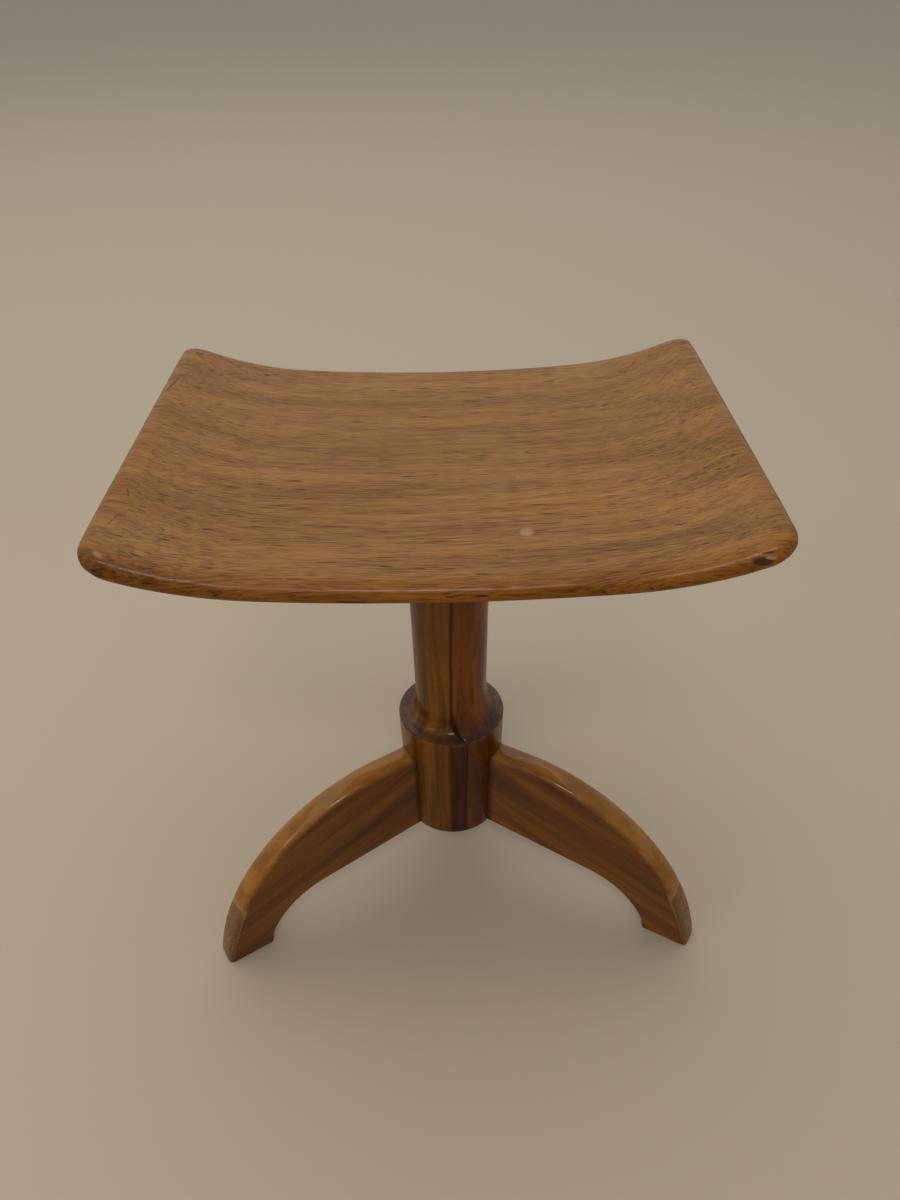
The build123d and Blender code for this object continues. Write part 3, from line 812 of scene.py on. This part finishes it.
def leg_material():
    """Streaky wood with a top painted lighter and golden for the light that falls on it, rubbed
    arrises and a scuffed toe.
    """
    g = Graph("leg_wood")
    place = g.grain()
    colour, holes, fibre = wood(
        g, place, LEG_TONES, layer=9.0, pith=(0, 30, 90), contrast=0.9, pore=(10, 0.8),
        density=0.25, band=17, streak=(100, 7.0), weights=(0.04, 0.62, 0.26, 0.08),
    )
    top = g.attribute("top")
    # Painted light: the top is turned lighter and golden, as if lit from above.
    painted_top_light = g.remap(g.noise(place, (60, 14, 14), 3.0, 0.5), 0.34, 0.66, 0.42, 0.85)
    colour = g.tint(colour, top, painted_top_light, (0.44, 0.185, 0.024))
    edge = g.attribute("edge")
    rubbed = g.remap(g.noise(place, (16, 6, 6), 4.0, 0.6), 0.40, 0.62)
    wear = g.math("MULTIPLY", edge, g.math("MULTIPLY_ADD", rubbed, 0.7, 0.3))
    colour = g.tint(colour, wear, 0.5, (0.50, 0.24, 0.06))
    toe = g.attribute("toe")
    patchy = g.remap(g.noise(place, (5, 3, 3), 4.0, 0.65), 0.30, 0.50)
    scuffed = g.math("MULTIPLY", toe, patchy)
    colour = g.tint(colour, scuffed, 0.75, (0.18, 0.105, 0.045))
    speckle = g.remap(g.noise(place, (2.2, 2.0, 2.0), 3.0, 0.6), 0.54, 0.66)
    colour = g.tint(colour, g.math("MULTIPLY", toe, speckle), 0.75, (0.05, 0.025, 0.012))
    toe_line = g.math("MULTIPLY", toe, g.math("SUBTRACT", 1.0, toe))
    colour = g.tint(colour, toe_line, 2.4, (0.42, 0.25, 0.11))
    joint = g.attribute("joint")
    colour = g.tint(colour, joint, 0.75, (0.018, 0.009, 0.005))
    colour = g.tint(colour, holes, 0.5, (0.04, 0.012, 0.004))
    finish(g, place, colour, holes, fibre, 0.34, 0.5, 0.08, wear=scuffed)
    return g.material


def plain_wood(name, order, tones, coat):
    """Wood of a CAD piece, which is out of sight or nearly so."""
    g = Graph(name)
    place = g.place(order, (40, 10, -300))
    colour, holes, fibre = wood(
        g, place, tones, layer=4.0, pith=(0, 20, -60), pore=(8, 0.8), density=0.4
    )
    colour = g.tint(colour, holes, 0.5, tuple(0.3 * c for c in tones[2]))
    finish(g, place, colour, holes, fibre, 0.5, coat, 0.35)
    return g.material


def steel_material():
    g = Graph("screw_steel")
    place = g.place()
    scratches = g.noise(place, (3, 0.15, 3), 3.0)
    tarnish = g.remap(g.noise(place, (2.5, 2.5, 2.5), 4.0), 0.4, 0.65)
    colour = g.mix(tarnish, (0.42, 0.41, 0.39), (0.20, 0.15, 0.11))
    g.feed(g.shader.inputs["Base Color"], colour)
    dull = g.math("MULTIPLY_ADD", tarnish, 0.2, 0.2)
    g.feed(g.shader.inputs["Roughness"], g.math("MULTIPLY_ADD", scratches, 0.3, dull))
    g.feed(g.shader.inputs["Normal"], g.bump(scratches, 0.02, 0.6))
    g.shader.inputs["Metallic"].default_value = 1.0
    return g.material


def dress(piece, material):
    piece.data.materials.clear()
    piece.data.materials.append(material)


def dress_all(seat, pedestal, legs):
    """Give the seat, boards and legs their materials, and the other four CAD nodes new ones."""
    leg_wood = leg_material()
    for piece in legs:
        dress(piece, leg_wood)
    dress(seat, seat_material())
    cheek = pedestal_material("cheek_wood", CHEEK_TONES, (0, 0, -90))
    core = pedestal_material("core_wood", CORE_TONES, (0, 140, -30))
    for piece, material in zip(pedestal, (core, cheek, cheek)):
        dress(piece, material)
    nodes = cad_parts
    dress(nodes["seat_bearer"], plain_wood("bearer_wood", "yxz", BEARER_TONES, 0.3))
    beech = plain_wood("dowel_wood", "xyz", BEECH_TONES, 0.0)
    dress(nodes["leg_dowels"], beech)
    dress(nodes["tenon_wedge"], beech)
    dress(nodes["bearer_screws"], steel_material())


seat_board = make_seat()
pedestal_pieces = make_pedestal()
leg_pieces = [make_leg(node, count + 1) for count, node in enumerate(LEG_ANGLES)]
dress_all(seat_board, pedestal_pieces, leg_pieces)


# ---------------------------------------------------------------- camera, floor and light
CAMERA_PLACE = (AXIS_X + 0.8, AXIS_Y - 590.9, 778.4)
CAMERA_PITCH, CAMERA_ROLL = 38.17, -1.15  # degrees below level, and round the view
CAMERA_LENS, CAMERA_SENSOR = 27.03, 36.0
WORLD_LIGHT = {"From Min": -0.4, "From Max": 0.9, "To Min": 0.20, "To Max": 0.62}
LIGHTS = (  # name, place, target, size, power and colour, in metres and watts
    ("ceiling", (-0.9, 1.2, 3.2), (-0.9, 1.2, 0), (5, 5), 58, (1.0, 0.96, 0.90)),
    ("window", (-1.6, -1.0, 1.5), (0, 0, 0.25), (0.6, 0.5), 3, (1.0, 0.97, 0.93)),
    ("lamp", (-0.05, -1.35, 1.95), (0, 0, 0.15), (0.45, 0.22), 6, (1.0, 0.96, 0.90)),
)


def make_camera():
    """The photo's camera: in front of the stool, above the seat and looking down at it."""
    pitch, roll = radians(CAMERA_PITCH), radians(CAMERA_ROLL)
    forward = Vector((0, cos(pitch), -sin(pitch)))
    right = Vector((1, 0, 0))
    up = right.cross(forward)
    right, up = cos(roll) * right + sin(roll) * up, cos(roll) * up - sin(roll) * right
    data = bpy.data.cameras.new("camera")
    data.sensor_width = CAMERA_SENSOR
    data.lens = CAMERA_LENS
    camera = bpy.data.objects.new("camera", data)
    bpy.context.collection.objects.link(camera)
    place = Vector(CAMERA_PLACE) * MM
    axes = Matrix((right, up, -forward)).transposed().to_4x4()
    camera.matrix_world = Matrix.Translation(place) @ axes
    bpy.context.scene.camera = camera


def area_light(name, place, target, size, power, colour):
    data = bpy.data.lights.new(name, "AREA")
    data.shape = "RECTANGLE"
    data.size, data.size_y = size
    data.energy = power
    data.color = colour
    light = bpy.data.objects.new(name, data)
    bpy.context.collection.objects.link(light)
    light.location = place
    light.rotation_euler = (Vector(target) - Vector(place)).to_track_quat("-Z", "Y").to_euler()


def make_stage():
    """A plain pale floor, a soft grey surround that is brighter behind the stool, and lights."""
    bpy.ops.mesh.primitive_plane_add(size=40, location=(0, 0, 0))
    floor = bpy.context.object
    floor.name = "floor"
    material = bpy.data.materials.new("pale_floor")
    material.use_nodes = True
    shader = material.node_tree.nodes["Principled BSDF"]
    shader.inputs["Base Color"].default_value = (0.55, 0.465, 0.345, 1)
    shader.inputs["Roughness"].default_value = 0.6
    floor.data.materials.append(material)
    world = bpy.data.worlds.new("studio")
    world.use_nodes = True
    tree = world.node_tree
    parts = tree.nodes.new("ShaderNodeSeparateXYZ")
    tree.links.new(tree.nodes.new("ShaderNodeTexCoord").outputs["Generated"], parts.inputs[0])
    depth = tree.nodes.new("ShaderNodeMapRange")
    depth.interpolation_type = "SMOOTHSTEP"
    for key, value in WORLD_LIGHT.items():
        depth.inputs[key].default_value = value
    tree.links.new(parts.outputs["Y"], depth.inputs["Value"])
    background = tree.nodes["Background"]
    background.inputs["Color"].default_value = (1.0, 0.98, 0.95, 1)
    tree.links.new(depth.outputs["Result"], background.inputs["Strength"])
    bpy.context.scene.world = world
    bpy.context.scene.view_settings.view_transform = "Standard"
    for light in LIGHTS:
        area_light(*light)


make_camera()
make_stage()
